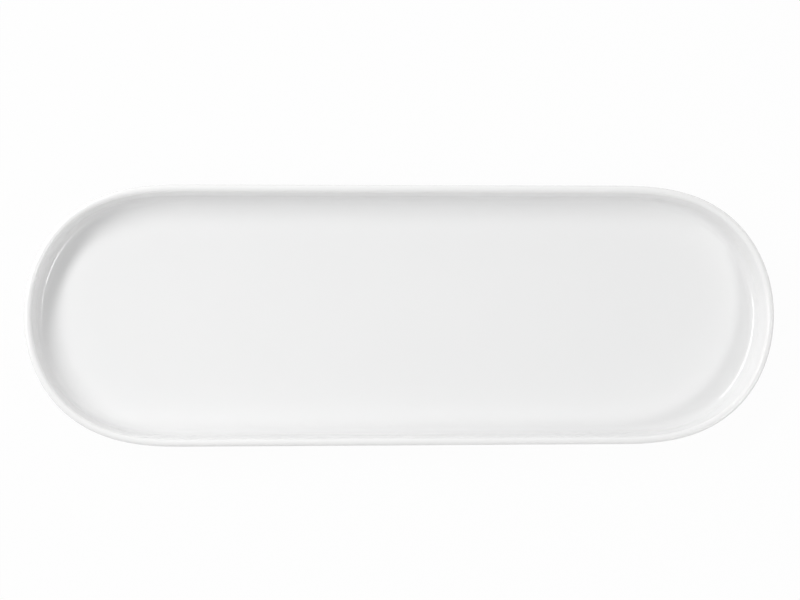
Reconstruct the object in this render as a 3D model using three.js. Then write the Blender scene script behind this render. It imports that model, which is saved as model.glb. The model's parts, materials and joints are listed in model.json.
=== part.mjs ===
// Oval serving platter in white porcelain: a long tray with straight sides, round ends and a low upright wall.
// Units are millimetres, +Z is up, and the origin is on the table under the middle of the platter.
// It is one fired body, glazed all over except for the standing face of its foot ring. The glaze is a skin of
// glass with a thickness of its own, and the bare foot parts it into two coats: one over the serving side and
// the outside, and one in the well under the foot.
import * as THREE from "three";

// Overall size, over the glaze
const LENGTH = 400; // along X
const WIDTH = 138.5; // along Y
const HEIGHT = 24;

// Outline of the round ends. On either side of the tip it follows along ** END_FULLNESS + across ** 2 = 1, where
// along is a share of the reach and across is a share of half the width.
const END_REACH = 87; // length of an end along X, from the straight side to the tip
const END_FULLNESS = 2.78; // 2 makes an ellipse, and more makes fuller shoulders

// Section through the floor, wall and rim
const FLOOR_THICKNESS = 4.5;
const RIM_RADIUS = 2; // the top of the rim is a full round
const INNER_LEAN = 7.5; // degrees from upright, so that the well opens upwards
const OUTER_LEAN = 6; // degrees from upright, so that the outside narrows downwards
const INNER_FILLET = 5; // between the wall and the serving floor
const OUTER_FILLET = 7.5; // between the wall and the underside

// Foot ring that the platter stands on
const FOOT_HEIGHT = 2.5; // from the table up to the underside
const FOOT_INSET = 16; // from the outline to the middle of the ring
const FOOT_FLAT = 2.4; // width of the standing face
const FOOT_EDGE = 0.6; // rounding on both sides of the standing face
const FOOT_LEAN = 20; // degrees from upright, so that the ring narrows downwards
const FOOT_FILLET = 1.2; // between the ring and the underside

const GLAZE = 0.25; // thickness of the glaze

// Steps of the mesh
const END_STEPS = 14; // along each quarter of the outline
const SIDE_STEPS = 4; // along each straight side
const FILLET_STEPS = 6;
const RIM_STEPS = 4; // on each side of the top of the rim
const FOOT_STEPS = 2; // along each small round of the foot

// Heights and centres that follow from the sizes
const FLOOR_TOP = FOOT_HEIGHT + FLOOR_THICKNESS;
const WALL_DEPTH = HEIGHT - FLOOR_TOP;
const innerFillet = Math.min(INNER_FILLET, WALL_DEPTH - RIM_RADIUS);
const outerFillet = Math.min(OUTER_FILLET, HEIGHT - RIM_RADIUS - FOOT_HEIGHT);
const footFillet = Math.min(FOOT_FILLET, FOOT_HEIGHT / 2);

// A section point has x, the distance in from the outline, and y, the height above the table.
// Angles are in degrees, with 0 pointing in towards the middle of the platter and 90 pointing up.
const rimCentre = new THREE.Vector2(RIM_RADIUS, HEIGHT - RIM_RADIUS);
const footOuterEdge = new THREE.Vector2(FOOT_INSET - FOOT_FLAT / 2, FOOT_EDGE);
const footInnerEdge = new THREE.Vector2(FOOT_INSET + FOOT_FLAT / 2, FOOT_EDGE);
const INNER_WALL_FACES = INNER_LEAN;
const OUTER_WALL_FACES = 180 + OUTER_LEAN;
const FOOT_OUTSIDE_FACES = 180 + FOOT_LEAN;
const FOOT_INSIDE_FACES = 360 - FOOT_LEAN;

// Points along one round of the section
function round(centre, radius, from, to, steps) {
  const start = THREE.MathUtils.degToRad(from);
  const end = THREE.MathUtils.degToRad(to);
  const clockwise = to < from;
  return new THREE.EllipseCurve(centre.x, centre.y, radius, radius, start, end, clockwise).getPoints(steps);
}

// Point at one distance and angle from a centre
function polar(centre, distance, degrees) {
  const angle = THREE.MathUtils.degToRad(degrees);
  return new THREE.Vector2(Math.cos(angle), Math.sin(angle)).multiplyScalar(distance).add(centre);
}

// Point at a given height on a line that is parallel to a wall. The wall faces the given way, and the line lies
// the given distance from the centre of the round that the wall runs into.
function onParallel(centre, distance, faces, height) {
  const angle = THREE.MathUtils.degToRad(faces);
  const start = polar(centre, distance, faces);
  const along = (height - start.y) / Math.cos(angle);
  return new THREE.Vector2(start.x - along * Math.sin(angle), height);
}

// Centre of the small fillet between one side of the foot ring and the underside
function footFilletCentre(edge, faces) {
  return onParallel(edge, FOOT_EDGE + GLAZE + footFillet, faces, FOOT_HEIGHT - footFillet);
}

// Section from the serving floor up the wall, over the rim and down the outside to the glaze line on the foot.
// It lies the given depth under the finished face: none for the glaze, and the glaze's thickness for the body.
function servingFace(depth) {
  const innerCentre = onParallel(rimCentre, RIM_RADIUS + innerFillet, INNER_WALL_FACES, FLOOR_TOP + innerFillet);
  const outerCentre = onParallel(rimCentre, RIM_RADIUS - outerFillet, OUTER_WALL_FACES, FOOT_HEIGHT + outerFillet);
  const footCentre = footFilletCentre(footOuterEdge, FOOT_OUTSIDE_FACES);
  return [
    ...round(innerCentre, innerFillet + depth, 270, INNER_WALL_FACES + 180, FILLET_STEPS),
    ...round(rimCentre, RIM_RADIUS - depth, INNER_WALL_FACES, 90, RIM_STEPS),
    ...round(rimCentre, RIM_RADIUS - depth, 90, 180, RIM_STEPS).slice(1),
    polar(rimCentre, RIM_RADIUS - depth, OUTER_WALL_FACES),
    ...round(outerCentre, outerFillet - depth, OUTER_WALL_FACES, 270, FILLET_STEPS),
    ...round(footCentre, footFillet + depth, 90, FOOT_OUTSIDE_FACES - 180, FOOT_STEPS),
    polar(footOuterEdge, FOOT_EDGE + GLAZE - depth, FOOT_OUTSIDE_FACES),
  ];
}

// Section of the well under the platter, from the glaze line on the inside of the foot to the flat underside
function wellFace(depth) {
  const footCentre = footFilletCentre(footInnerEdge, FOOT_INSIDE_FACES);
  return [
    polar(footInnerEdge, FOOT_EDGE + GLAZE - depth, FOOT_INSIDE_FACES),
    ...round(footCentre, footFillet + depth, FOOT_INSIDE_FACES - 180, 90, FOOT_STEPS),
  ];
}

// Section of the bare foot between the two glaze lines, without the points on those lines
function standingFace() {
  const points = [
    ...round(footOuterEdge, FOOT_EDGE, FOOT_OUTSIDE_FACES, 270, FOOT_STEPS),
    ...round(footInnerEdge, FOOT_EDGE, 270, FOOT_INSIDE_FACES, FOOT_STEPS),
  ];
  return points.slice(1, -1);
}

// Points round the outline, counter-clockwise from the tip at +X, each with its outward normal
function outlineStations() {
  const straight = LENGTH / 2 - END_REACH;
  const halfWidth = WIDTH / 2;
  const quarter = [];
  for (let i = 0; i <= END_STEPS; i++) {
    const angle = (i / END_STEPS) * (Math.PI / 2);
    const along = Math.cos(angle);
    const across = Math.sqrt(1 - along ** END_FULLNESS);
    const normal = new THREE.Vector2(
      (END_FULLNESS * along ** (END_FULLNESS - 1)) / END_REACH,
      (2 * across) / halfWidth,
    );
    const place = new THREE.Vector2(straight + END_REACH * along, halfWidth * across);
    quarter.push({ place, normal: normal.normalize() });
  }
  const side = [];
  for (let i = 1; i < SIDE_STEPS; i++) {
    const x = straight * (1 - (2 * i) / SIDE_STEPS);
    side.push({ place: new THREE.Vector2(x, halfWidth), normal: new THREE.Vector2(0, 1) });
  }
  const mirrored = ({ place, normal }, sign) => ({
    place: place.clone().multiply(sign),
    normal: normal.clone().multiply(sign),
  });
  const mirrorX = new THREE.Vector2(-1, 1);
  const mirrorY = new THREE.Vector2(1, -1);
  const leftQuarter = quarter.toReversed().map((station) => mirrored(station, mirrorX));
  const farHalf = [...quarter, ...side, ...leftQuarter];
  const nearHalf = farHalf.slice(1, -1).toReversed().map((station) => mirrored(station, mirrorY));
  return [...farHalf, ...nearHalf];
}

// Closed solid of a section carried round the outline. Each section point makes one ring, and flat faces close
// the first ring, which faces up, and the last ring, which faces down.
function ovalSolid(section) {
  const stations = outlineStations();
  const count = stations.length;
  const positions = [];
  for (const point of section) {
    for (const { place, normal } of stations) {
      positions.push(place.x - point.x * normal.x, place.y - point.x * normal.y, point.y);
    }
  }
  const faces = [];
  for (let ring = 0; ring + 1 < section.length; ring++) {
    const here = ring * count;
    const below = here + count;
    // The diagonal of each four-sided face starts on the ring that lies farther in, whichever way the section
    // runs, so that pieces that share a face share its triangles
    const fartherIn = section[ring].x > section[ring + 1].x;
    for (let i = 0; i < count; i++) {
      const next = (i + 1) % count;
      if (fartherIn) {
        faces.push(here + i, below + i, below + next);
        faces.push(here + i, below + next, here + next);
      } else {
        faces.push(here + i, below + i, here + next);
        faces.push(below + i, below + next, here + next);
      }
    }
  }
  // A flat face is a strip of triangles from each station to its mirror image across the long axis
  const last = (section.length - 1) * count;
  for (let i = 0; i < count / 2; i++) {
    const mirror = (count - i) % count;
    const nextMirror = count - i - 1;
    if (i > 0) {
      faces.push(mirror, i, i + 1);
      faces.push(last + mirror, last + i + 1, last + i);
    }
    if (nextMirror > i + 1) {
      faces.push(mirror, i + 1, nextMirror);
      faces.push(last + mirror, last + nextMirror, last + i + 1);
    }
  }
  const geometry = new THREE.BufferGeometry();
  geometry.setAttribute("position", new THREE.Float32BufferAttribute(positions, 3));
  geometry.setIndex(faces);
  geometry.computeVertexNormals();
  return geometry;
}

const biscuit = new THREE.MeshStandardMaterial({ color: 0xe8e3d9, roughness: 0.85, metalness: 0 });
const glaze = new THREE.MeshStandardMaterial({ color: 0xefefee, roughness: 0.1, metalness: 0 });

const platter = new THREE.Group();

function addPiece(name, section, material) {
  const piece = new THREE.Mesh(ovalSolid(section), material);
  piece.name = name;
  platter.add(piece);
}

addPiece("porcelain_body", [...servingFace(GLAZE), ...standingFace(), ...wellFace(GLAZE)], biscuit);
addPiece("glaze_coat", [...servingFace(0), ...servingFace(GLAZE).toReversed()], glaze);
addPiece("underside_glaze", [...wellFace(GLAZE).toReversed(), ...wellFace(0)], glaze);

export default platter;
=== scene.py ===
"""Looks of a long oval serving platter in white glazed porcelain.

Every length is in metres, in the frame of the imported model: +Z is up and the origin is on the table under
the middle of the platter. The platter is rebuilt here as fine meshes of the same section and outline: the
fired body, of which only the foot ring shows, and the two coats of glaze.
"""

import json
import math

import bpy
from mathutils import Matrix, Vector


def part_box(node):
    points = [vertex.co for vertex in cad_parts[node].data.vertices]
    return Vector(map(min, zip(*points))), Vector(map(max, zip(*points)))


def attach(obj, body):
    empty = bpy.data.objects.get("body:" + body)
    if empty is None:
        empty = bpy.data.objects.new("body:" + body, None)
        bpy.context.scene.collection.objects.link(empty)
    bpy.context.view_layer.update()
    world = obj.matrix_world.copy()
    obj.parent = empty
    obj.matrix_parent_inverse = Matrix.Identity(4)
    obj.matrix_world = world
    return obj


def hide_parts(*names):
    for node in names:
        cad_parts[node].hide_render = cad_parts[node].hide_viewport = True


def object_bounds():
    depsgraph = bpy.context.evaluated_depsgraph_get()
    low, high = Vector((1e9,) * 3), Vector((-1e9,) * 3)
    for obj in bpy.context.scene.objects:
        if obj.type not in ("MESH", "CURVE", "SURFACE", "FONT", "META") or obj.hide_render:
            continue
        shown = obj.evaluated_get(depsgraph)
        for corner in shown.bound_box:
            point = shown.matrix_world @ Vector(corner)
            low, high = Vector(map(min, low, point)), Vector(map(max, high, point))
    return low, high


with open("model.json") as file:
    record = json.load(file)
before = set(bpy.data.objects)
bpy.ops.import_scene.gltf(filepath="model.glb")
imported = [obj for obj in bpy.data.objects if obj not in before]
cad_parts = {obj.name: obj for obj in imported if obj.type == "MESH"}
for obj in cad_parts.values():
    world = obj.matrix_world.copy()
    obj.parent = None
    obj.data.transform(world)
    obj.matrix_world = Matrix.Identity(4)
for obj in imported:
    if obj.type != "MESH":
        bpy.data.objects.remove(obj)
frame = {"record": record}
cad_low, cad_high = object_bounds()

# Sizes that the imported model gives
LENGTH = cad_high.x - cad_low.x
WIDTH = cad_high.y - cad_low.y
HEIGHT = cad_high.z
MOUNTS = {mount["name"]: Vector(mount["pos_m"]) for mount in frame["record"]["mounts"]}
FLOOR_TOP = MOUNTS["serving_floor"].z
FOOT_INSET = WIDTH / 2 + MOUNTS["foot_face"].y  # from the outline to the middle of the foot ring
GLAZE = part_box("glaze_coat")[1].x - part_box("porcelain_body")[1].x  # thickness of the glaze

# Outline of the round ends. On either side of the tip it follows along ** END_FULLNESS + across ** 2 = 1,
# where along is a share of the reach and across is a share of half the width.
END_REACH = 0.087  # length of an end along X, from the straight side to the tip
END_FULLNESS = 2.78  # 2 makes an ellipse, and more makes fuller shoulders

# Section through the wall, rim and foot ring, with leans in degrees from upright
RIM_RADIUS = 0.002  # the top of the rim is a full round
INNER_LEAN = 7.5  # the well opens upwards
OUTER_LEAN = 6  # the outside narrows downwards
INNER_FILLET = 0.005  # between the wall and the serving floor
OUTER_FILLET = 0.0075  # between the wall and the underside
FOOT_HEIGHT = 0.0025  # from the table up to the underside
FOOT_FLAT = 0.0024  # width of the standing face
FOOT_EDGE = 0.0006  # rounding on both sides of the standing face
FOOT_LEAN = 20  # the ring narrows downwards
FOOT_FILLET = 0.0012  # between the foot ring and the underside
FLAT_MARGIN = 0.0015  # width of the flat band beside each fillet, where the shading settles

# Steps of the fine meshes
END_STEPS = 44  # along each quarter of the outline
SIDE_STEPS = 24  # along each straight side
ACROSS_STEPS = 12  # across the flat faces
FILLET_STEPS = 20
RIM_STEPS = 10  # on each side of the top of the rim
WALL_STEPS = 4  # along each straight stretch of the section
FOOT_STEPS = 6  # along each small round of the foot
NOSE_STEPS = 5  # along the rounded end of each coat of glaze
SHARP_ANGLE = math.radians(50)  # faces that meet at a greater angle keep a sharp edge

# Camera, worked out from the outline of the platter in an 800 by 600 frame
CAMERA_PLACE = Vector((-0.0783, -0.0240, 1.1218))
CAMERA_AIM = Vector((-0.0018, 0.0080, 0.0218))
CAMERA_ROLL = math.radians(-0.18)
CAMERA_LENS = 93.3  # millimetres
SENSOR_WIDTH = 36.0  # millimetres

# Glaze, with colours as (red, green, blue)
WHITE_GLAZE = (0.862, 0.862, 0.861)
DULL_GLAZE = (0.852, 0.852, 0.852)  # drifts in here and there
POOLED_GLAZE = (0.854, 0.856, 0.856)  # on the serving floor and below it, where the glaze pools
POOLED_SHARE = 0.5  # how far the pooled colour takes over
THIN_GLAZE = (0.863, 0.861, 0.858)  # on the rim
THIN_SHARE = 0.8  # how far the thin colour takes over at the top of the rim
SPECK = (0.45, 0.42, 0.38)  # of the few faint specks
GLAZE_IOR = 1.52
SCRATCH_TURNS = (8, 52, 131)  # directions of the faint marks of use, in degrees from X

# Bare fired porcelain: its two tones, and the grey of wear
PALE_BISCUIT = (0.80, 0.775, 0.72)
DARK_BISCUIT = (0.72, 0.69, 0.635)
WORN_BISCUIT = (0.52, 0.50, 0.47)

NOISE_SPREAD = (0.3, 0.7)  # range in which most values of a noise lie

# Studio
WHITE = (1.0, 1.0, 1.0)
STAGE_GREY = (0.7, 0.7, 0.7)  # colour of the floor that takes the light and the shadow
STAGE_WHITE = 0.965  # share of plain white in the floor's look, and the rest keeps the shadow
STAGE_SIZE = 4.0  # side of the square floor
STAGE_GAP = 0.0002  # from the standing face down to the floor, so that they don't share a plane
SOFTBOX_DISTANCE = 1.6  # from the middle of the platter
OVERHEAD_LIGHT = 0.405  # strength of the even light from above
HORIZON_LIGHT = 1.0  # strength of the even light from low down
OVERHEAD_START = 0.6  # height of a direction, as a share, above which the even light stays the same


# Section of the platter. A point is (distance in from the outline, height above the table), and angles
# are in degrees, with 0 pointing in towards the middle of the platter and 90 pointing up.

def polar(centre, distance, degrees):
    """Point at one distance and angle from a centre."""
    angle = math.radians(degrees)
    return centre + distance * Vector((math.cos(angle), math.sin(angle)))


def arc(centre, radius, start, end, steps):
    """Points along one round of the section."""
    return [polar(centre, radius, start + (end - start) * i / steps) for i in range(steps + 1)]


def between(start, end, steps):
    """Points along a straight line, without its ends."""
    return [start.lerp(end, i / steps) for i in range(1, steps)]


def on_parallel(centre, distance, faces, height):
    """Point at a height on a line parallel to a wall that faces one way.

    The line lies the distance from the centre of the round that the wall runs into.
    """
    angle = math.radians(faces)
    start = polar(centre, distance, faces)
    along = (height - start.y) / math.cos(angle)
    return Vector((start.x - along * math.sin(angle), height))


RIM_CENTRE = Vector((RIM_RADIUS, HEIGHT - RIM_RADIUS))
INNER_WALL_FACES = INNER_LEAN
OUTER_WALL_FACES = 180 + OUTER_LEAN
FOOT_OUTSIDE_FACES = 180 + FOOT_LEAN
FOOT_INSIDE_FACES = 360 - FOOT_LEAN
FOOT_OUTER_EDGE = Vector((FOOT_INSET - FOOT_FLAT / 2, FOOT_EDGE))
FOOT_INNER_EDGE = Vector((FOOT_INSET + FOOT_FLAT / 2, FOOT_EDGE))


def foot_fillet_centre(edge, faces):
    """Centre of the small fillet between one side of the foot ring and the underside."""
    return on_parallel(edge, FOOT_EDGE + GLAZE + FOOT_FILLET, faces, FOOT_HEIGHT - FOOT_FILLET)


def serving_face(depth):
    """Section from the serving floor over the rim to the foot's outside, a depth under the finish."""
    inner_centre = on_parallel(
        RIM_CENTRE, RIM_RADIUS + INNER_FILLET, INNER_WALL_FACES, FLOOR_TOP + INNER_FILLET
    )
    outer_centre = on_parallel(
        RIM_CENTRE, RIM_RADIUS - OUTER_FILLET, OUTER_WALL_FACES, FOOT_HEIGHT + OUTER_FILLET
    )
    foot_centre = foot_fillet_centre(FOOT_OUTER_EDGE, FOOT_OUTSIDE_FACES)
    inner = arc(inner_centre, INNER_FILLET + depth, 270, 180 + INNER_WALL_FACES, FILLET_STEPS)
    rim = arc(RIM_CENTRE, RIM_RADIUS - depth, INNER_WALL_FACES, 90, RIM_STEPS)
    rim += arc(RIM_CENTRE, RIM_RADIUS - depth, 90, 180, RIM_STEPS)[1:]
    rim += [polar(RIM_CENTRE, RIM_RADIUS - depth, OUTER_WALL_FACES)]
    outer = arc(outer_centre, OUTER_FILLET - depth, OUTER_WALL_FACES, 270, FILLET_STEPS)
    foot = arc(foot_centre, FOOT_FILLET + depth, 90, FOOT_OUTSIDE_FACES - 180, FOOT_STEPS)
    flat_edge = inner[0] + Vector((FLAT_MARGIN, 0))
    return [
        flat_edge,
        *inner,
        *between(inner[-1], rim[0], WALL_STEPS),
        *rim,
        *between(rim[-1], outer[0], WALL_STEPS),
        *outer,
        *between(outer[-1], foot[0], WALL_STEPS),
        *foot,
    ]


def well_face(depth):
    """Section of the well underneath, from the foot's inside to the flat, a depth under the finish."""
    foot_centre = foot_fillet_centre(FOOT_INNER_EDGE, FOOT_INSIDE_FACES)
    foot = arc(foot_centre, FOOT_FILLET + depth, FOOT_INSIDE_FACES - 180, 90, FOOT_STEPS)
    return [*foot, foot[-1] + Vector((FLAT_MARGIN, 0))]


def standing_face():
    """Section of the bare foot from one glaze line to the other."""
    outer = arc(FOOT_OUTER_EDGE, FOOT_EDGE, FOOT_OUTSIDE_FACES, 270, FOOT_STEPS)
    inner = arc(FOOT_INNER_EDGE, FOOT_EDGE, 270, FOOT_INSIDE_FACES, FOOT_STEPS)
    return [*outer, *between(outer[-1], inner[0], WALL_STEPS), *inner]


def glaze_nose(edge, faces, turn):
    """Rounded end of a coat of glaze on one side of the foot, from its face down to the bare body.

    The turn is a quarter, 90 for the outside of the foot and -90 for the inside.
    """
    end = polar(edge, FOOT_EDGE, faces)
    centre = polar(end, GLAZE, faces - turn)
    return arc(centre, GLAZE, faces, faces + turn, NOSE_STEPS)


def body_section():
    """Whole section of the fired body, from the serving floor round to the flat of the well."""
    return [*serving_face(GLAZE), *standing_face(), *well_face(GLAZE)]


def coat_section():
    """Whole section of the glaze on the serving side and the outside."""
    nose = glaze_nose(FOOT_OUTER_EDGE, FOOT_OUTSIDE_FACES, 90)
    return [*serving_face(0), *nose, *reversed(serving_face(GLAZE))]


def well_section():
    """Whole section of the glaze in the well under the platter."""
    nose = glaze_nose(FOOT_INNER_EDGE, FOOT_INSIDE_FACES, -90)
    return [*reversed(well_face(GLAZE)), *reversed(nose), *well_face(0)]


# Carrying a section round the outline

def outline_stations():
    """Points round the outline, counter-clockwise from the tip at +X, each with its outward normal."""
    straight = LENGTH / 2 - END_REACH
    half_width = WIDTH / 2
    quarter = []
    for i in range(END_STEPS + 1):
        angle = math.pi / 2 * i / END_STEPS
        along = math.cos(angle)
        across = math.sqrt(1 - along ** END_FULLNESS)
        place = Vector((straight + END_REACH * along, half_width * across))
        # The normal follows the slope of the outline's formula along X and along Y
        slope_x = END_FULLNESS * along ** (END_FULLNESS - 1) / END_REACH
        slope_y = 2 * across / half_width
        quarter.append((place, Vector((slope_x, slope_y)).normalized()))
    side = [
        (Vector((straight * (1 - 2 * i / SIDE_STEPS), half_width)), Vector((0, 1)))
        for i in range(1, SIDE_STEPS)
    ]
    far_left = [mirrored(station, -1, 1) for station in reversed(quarter)]
    far_half = [*quarter, *side, *far_left]
    near_half = [mirrored(station, 1, -1) for station in reversed(far_half[1:-1])]
    return far_half + near_half


def mirrored(station, sign_x, sign_y):
    """Place and normal of a station, each mirrored where a sign is -1."""
    return tuple(Vector((sign_x * part.x, sign_y * part.y)) for part in station)


def oval_solid(name, section):
    """Closed mesh of a section carried round the outline, with flat grids on its first and last rings."""
    stations = outline_stations()
    count = len(stations)
    points = []
    for inset, height in section:
        for place, normal in stations:
            flat = place - inset * normal
            points.append((flat.x, flat.y, height))
    faces = []
    for ring in range(len(section) - 1):
        here = ring * count
        below = here + count
        for i in range(count):
            j = (i + 1) % count
            faces.append((here + i, below + i, below + j, here + j))
    add_flat_grid(points, faces, 0, count, facing_up=True)
    add_flat_grid(points, faces, (len(section) - 1) * count, count, facing_up=False)
    mesh = bpy.data.meshes.new(name)
    mesh.from_pydata(points, [], faces)
    mesh.shade_smooth()
    mesh.set_sharp_from_angle(angle=SHARP_ANGLE)
    piece = bpy.data.objects.new(name, mesh)
    bpy.context.scene.collection.objects.link(piece)
    return piece


def add_flat_grid(points, faces, first, count, facing_up):
    """Closes a ring by rows of points, each from one point to its mirror image across the long axis."""
    rows = []
    for i in range(count // 2 + 1):
        far = first + i
        near = first + (count - i) % count
        if far == near:
            # The row at a tip is one point over and over, so the faces beside it have three corners
            rows.append([far] * (ACROSS_STEPS + 1))
            continue
        inside = between(Vector(points[far]), Vector(points[near]), ACROSS_STEPS)
        rows.append([far, *range(len(points), len(points) + len(inside)), near])
        points.extend(tuple(point) for point in inside)
    for row, after in zip(rows, rows[1:]):
        for k in range(ACROSS_STEPS):
            face = list(dict.fromkeys([row[k], after[k], after[k + 1], row[k + 1]]))
            faces.append(face if facing_up else face[::-1])


# Materials

class Nodes:
    """Short calls for making and linking the nodes of one material or world."""

    def __init__(self, tree):
        self.tree = tree

    def add(self, kind, **values):
        """New node of a kind, with its settings."""
        node = self.tree.nodes.new(kind)
        for key, value in values.items():
            setattr(node, key, value)
        return node

    def link(self, output, socket):
        self.tree.links.new(output, socket)

    def show(self, surface):
        """Links a shader to the output."""
        output = next(node for node in self.tree.nodes if node.type.startswith("OUTPUT"))
        self.link(surface, output.inputs["Surface"])

    def place(self):
        """Place on the object."""
        return self.add("ShaderNodeTexCoord").outputs["Object"]

    def drawn_out(self, stretch, turn):
        """Place on the object, for a noise drawn out along one direction, in degrees from X."""
        mapping = self.add("ShaderNodeMapping", vector_type="TEXTURE")
        mapping.inputs["Rotation"].default_value.z = math.radians(turn)
        mapping.inputs["Scale"].default_value.x = stretch
        self.link(self.place(), mapping.inputs["Vector"])
        return mapping.outputs["Vector"]

    def upward(self, vector):
        """Z part of a place or a direction."""
        split = self.add("ShaderNodeSeparateXYZ")
        self.link(vector, split.inputs["Vector"])
        return split.outputs["Z"]

    def calculate(self, operation, first, second):
        """Result of an operation on a socket and a second socket or plain number."""
        node = self.add("ShaderNodeMath", operation=operation)
        self.link(first, node.inputs[0])
        if isinstance(second, float):
            node.inputs[1].default_value = second
        else:
            self.link(second, node.inputs[1])
        return node.outputs[0]

    def looking(self):
        """1 for rays of the eye, of reflections and through glass, and 0 for those that gather light."""
        path = self.add("ShaderNodeLightPath").outputs
        seen = self.calculate("MAXIMUM", path["Is Camera Ray"], path["Is Glossy Ray"])
        return self.calculate("MAXIMUM", seen, path["Is Transmission Ray"])

    def mix_shaders(self, factor, first, second):
        """First shader where the factor is 0, and the second where it is 1."""
        node = self.add("ShaderNodeMixShader")
        for output, socket in zip((factor, first, second), node.inputs):
            self.link(output, socket)
        return node.outputs["Shader"]

    def noise(self, per_metre, detail=2, roughness=0.5, place=None):
        """Noise with about so many features to the metre, at the place on the object or another place."""
        node = self.add("ShaderNodeTexNoise")
        node.inputs["Scale"].default_value = per_metre
        node.inputs["Detail"].default_value = detail
        node.inputs["Roughness"].default_value = roughness
        if place is None:
            place = self.place()
        self.link(place, node.inputs["Vector"])
        return node.outputs["Fac"]

    def ramp(self, factor, over, gives):
        """Value that goes smoothly from one of gives to the other while the factor goes over a range."""
        node = self.add("ShaderNodeMapRange", interpolation_type="SMOOTHSTEP")
        names = ("From Min", "From Max", "To Min", "To Max")
        for name, value in zip(names, (*over, *gives)):
            node.inputs[name].default_value = value
        self.link(factor, node.inputs["Value"])
        return node.outputs["Result"]

    def blend(self, factor, first, second):
        """Colour between two colours, each a socket or a plain (red, green, blue)."""
        node = self.add("ShaderNodeMix", data_type="RGBA")
        self.link(factor, node.inputs["Factor"])
        for name, colour in (("A", first), ("B", second)):
            socket = next(s for s in node.inputs if s.name == name and s.type == "RGBA")
            if isinstance(colour, tuple):
                socket.default_value = (*colour, 1.0)
            else:
                self.link(colour, socket)
        return next(s for s in node.outputs if s.type == "RGBA")

    def bump(self, height, strength, distance, normal=None):
        """Normal of a surface with small heights on it, and on another bump if its normal is given."""
        node = self.add("ShaderNodeBump")
        node.inputs["Strength"].default_value = strength
        node.inputs["Distance"].default_value = distance
        self.link(height, node.inputs["Height"])
        if normal is not None:
            self.link(normal, node.inputs["Normal"])
        return node.outputs["Normal"]


def new_material(name):
    """A material with its nodes and its main shader."""
    material = bpy.data.materials.new(name)
    material.use_nodes = True
    return material, Nodes(material.node_tree), material.node_tree.nodes["Principled BSDF"]


def glaze_material():
    """Clear gloss glaze over white porcelain, with a gentle ripple and the marks of use."""
    material, nodes, shader = new_material("porcelain_glaze")
    height = nodes.upward(nodes.place())
    # 1 on the serving floor and below it, and 0 above the fillet at the foot of the wall
    low_down = nodes.ramp(height, over=(FLOOR_TOP, FLOOR_TOP + INNER_FILLET), gives=(1.0, 0.0))
    nodes.link(glaze_colour(nodes, height, low_down), shader.inputs["Base Color"])
    nodes.link(glaze_roughness(nodes, low_down), shader.inputs["Roughness"])
    ripple = nodes.bump(nodes.noise(per_metre=45), strength=0.05, distance=0.00015)
    peel = nodes.bump(nodes.noise(per_metre=420, detail=1), strength=0.03, distance=0.0001, normal=ripple)
    nodes.link(peel, shader.inputs["Normal"])
    shader.inputs["IOR"].default_value = GLAZE_IOR
    return material


def glaze_colour(nodes, height, low_down):
    """White with a few specks, a little cooler where the glaze pools and warmer where it is thin."""
    drift = nodes.ramp(nodes.noise(per_metre=14, detail=3), over=NOISE_SPREAD, gives=(0.0, 1.0))
    colour = nodes.blend(drift, WHITE_GLAZE, DULL_GLAZE)
    pooled = nodes.calculate("MULTIPLY", low_down, POOLED_SHARE)
    colour = nodes.blend(pooled, colour, POOLED_GLAZE)
    thin = nodes.ramp(height, over=(HEIGHT - 2 * RIM_RADIUS, HEIGHT), gives=(0.0, THIN_SHARE))
    colour = nodes.blend(thin, colour, THIN_GLAZE)
    specks = nodes.ramp(nodes.noise(per_metre=900, detail=1), over=(0.79, 0.83), gives=(0.0, 0.12))
    return nodes.blend(specks, colour, SPECK)


def glaze_roughness(nodes, low_down):
    """Gloss that varies a little, with faint marks of use on the serving floor and below it."""
    roughness = nodes.ramp(nodes.noise(per_metre=60, detail=4), over=NOISE_SPREAD, gives=(0.05, 0.09))
    for turn in SCRATCH_TURNS:
        streaks = nodes.noise(per_metre=1500, place=nodes.drawn_out(stretch=40, turn=turn))
        marks = nodes.ramp(streaks, over=(0.66, 0.72), gives=(0.0, 0.06))
        roughness = nodes.calculate("ADD", roughness, nodes.calculate("MULTIPLY", marks, low_down))
    return roughness


def biscuit_material():
    """Bare fired porcelain, sanded on the standing face and greyed a little by use."""
    material, nodes, shader = new_material("bare_porcelain")
    tone = nodes.blend(nodes.noise(per_metre=120, detail=4), PALE_BISCUIT, DARK_BISCUIT)
    patches = nodes.noise(per_metre=38, detail=5, roughness=0.7)
    wear = nodes.ramp(patches, over=(0.52, 0.72), gives=(0.0, 0.35))
    nodes.link(nodes.blend(wear, tone, WORN_BISCUIT), shader.inputs["Base Color"])
    roughness = nodes.ramp(nodes.noise(per_metre=700, detail=3), over=NOISE_SPREAD, gives=(0.68, 0.9))
    nodes.link(roughness, shader.inputs["Roughness"])
    grain = nodes.noise(per_metre=2600, detail=3, roughness=0.7)
    nodes.link(nodes.bump(grain, strength=0.35, distance=0.0001), shader.inputs["Normal"])
    return material


def stage_material():
    """White floor that keeps a soft shadow and reads as white to the eye and in reflections."""
    material, nodes, shader = new_material("stage_white")
    shader.inputs["Base Color"].default_value = (*STAGE_GREY, 1.0)
    shader.inputs["Roughness"].default_value = 0.9
    shader.inputs["Specular IOR Level"].default_value = 0.0
    white = nodes.add("ShaderNodeEmission")
    share = nodes.calculate("MULTIPLY", nodes.looking(), STAGE_WHITE)
    nodes.show(nodes.mix_shaders(share, shader.outputs["BSDF"], white.outputs["Emission"]))
    return material


# Pieces

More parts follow.
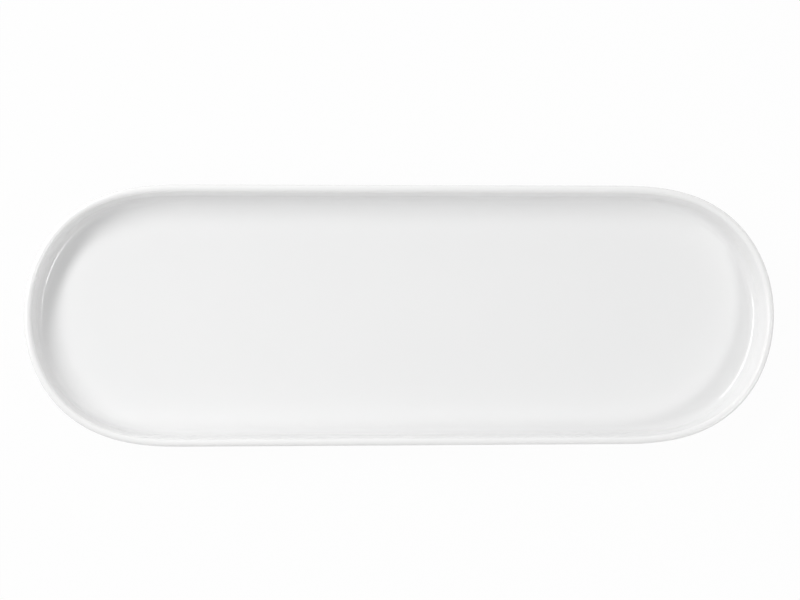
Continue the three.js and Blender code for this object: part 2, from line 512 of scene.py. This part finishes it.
def make_platter():
    """The fired body and the two coats of glaze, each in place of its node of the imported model."""
    glaze = glaze_material()
    biscuit = biscuit_material()
    pieces = (
        ("foot_and_body", body_section(), biscuit, "porcelain_body", "biscuit"),
        ("serving_side_glaze", coat_section(), glaze, "glaze_coat", "glaze"),
        ("foot_well_glaze", well_section(), glaze, "underside_glaze", "glaze"),
    )
    for name, section, material, node, slot in pieces:
        piece = oval_solid(name, section)
        piece.data.materials.append(material)
        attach(piece, "root")
        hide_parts(node)


# Studio

def make_stage():
    """Square floor that the platter stands on."""
    half = STAGE_SIZE / 2
    corners = ((-half, -half), (half, -half), (half, half), (-half, half))
    mesh = bpy.data.meshes.new("stage_floor")
    mesh.from_pydata([(x, y, -STAGE_GAP) for x, y in corners], [], [(0, 1, 2, 3)])
    mesh.materials.append(stage_material())
    floor = bpy.data.objects.new("stage_floor", mesh)
    bpy.context.scene.collection.objects.link(floor)


def make_camera():
    """Camera that looks from its place to its aim, with +Y up in the picture apart from a small roll."""
    camera = bpy.data.cameras.new("camera")
    camera.sensor_fit = "HORIZONTAL"
    camera.sensor_width = SENSOR_WIDTH
    camera.lens = CAMERA_LENS
    viewer = bpy.data.objects.new("camera", camera)
    forward = (CAMERA_AIM - CAMERA_PLACE).normalized()
    right = forward.cross(Vector((0, 1, 0))).normalized()
    up = right.cross(forward)
    level = Matrix((right, up, -forward)).transposed()
    rolled = level @ Matrix.Rotation(CAMERA_ROLL, 3, "Z")
    viewer.matrix_world = Matrix.Translation(CAMERA_PLACE) @ rolled.to_4x4()
    bpy.context.scene.collection.objects.link(viewer)
    bpy.context.scene.camera = viewer


def make_softbox(name, azimuth, elevation, width, height, watts, only_reflected=False):
    """Softbox that faces the platter from a direction in degrees, with azimuth 0 at +X and 90 at +Y."""
    across = math.radians(azimuth)
    up = math.radians(elevation)
    direction = Vector((math.cos(across) * math.cos(up), math.sin(across) * math.cos(up), math.sin(up)))
    lamp = bpy.data.lights.new(name, "AREA")
    lamp.shape = "RECTANGLE"
    lamp.size = width
    lamp.size_y = height
    lamp.energy = watts
    holder = bpy.data.objects.new(name, lamp)
    holder.location = direction * SOFTBOX_DISTANCE
    holder.rotation_euler = direction.to_track_quat("Z", "Y").to_euler()
    holder.visible_diffuse = not only_reflected
    bpy.context.scene.collection.objects.link(holder)


def make_light():
    """Lamps and the even light of the studio."""
    # In the key's light the left and far walls shade the floor, and the right end's fillet shows its line
    make_softbox("key_back_left", azimuth=153, elevation=46.5, width=1.7, height=0.3, watts=15.7)
    # The weak fill lights the left wall, and the left end's fillet shows its line
    make_softbox("fill_front_right", azimuth=331, elevation=43, width=0.55, height=0.26, watts=4.8)
    # The strip shows only in reflections, as a longer and thinner line on the same fillet
    make_softbox(
        "strip_front_right",
        azimuth=334,
        elevation=40,
        width=1.8,
        height=0.08,
        watts=7.5,
        only_reflected=True,
    )
    # The large dim card lights the inside of the near wall from low down
    make_softbox("card_back", azimuth=112, elevation=16, width=2.4, height=0.88, watts=2.4)
    bpy.context.scene.world = make_world()


def make_world():
    """White to the eye and in reflections, and a soft light from all round that is stronger low down."""
    world = bpy.data.worlds.new("studio")
    world.use_nodes = True
    nodes = Nodes(world.node_tree)
    direction = nodes.add("ShaderNodeTexCoord").outputs["Generated"]
    upward = nodes.upward(direction)
    strength = nodes.ramp(upward, over=(0.0, OVERHEAD_START), gives=(HORIZON_LIGHT, OVERHEAD_LIGHT))
    light = nodes.add("ShaderNodeBackground")
    light.inputs["Color"].default_value = (*WHITE, 1.0)
    nodes.link(strength, light.inputs["Strength"])
    white = nodes.tree.nodes["Background"]
    white.inputs["Color"].default_value = (*WHITE, 1.0)
    both = nodes.mix_shaders(nodes.looking(), light.outputs["Background"], white.outputs["Background"])
    nodes.show(both)
    return world


make_platter()
make_stage()
make_camera()
make_light()
bpy.context.scene.view_settings.view_transform = "Standard"
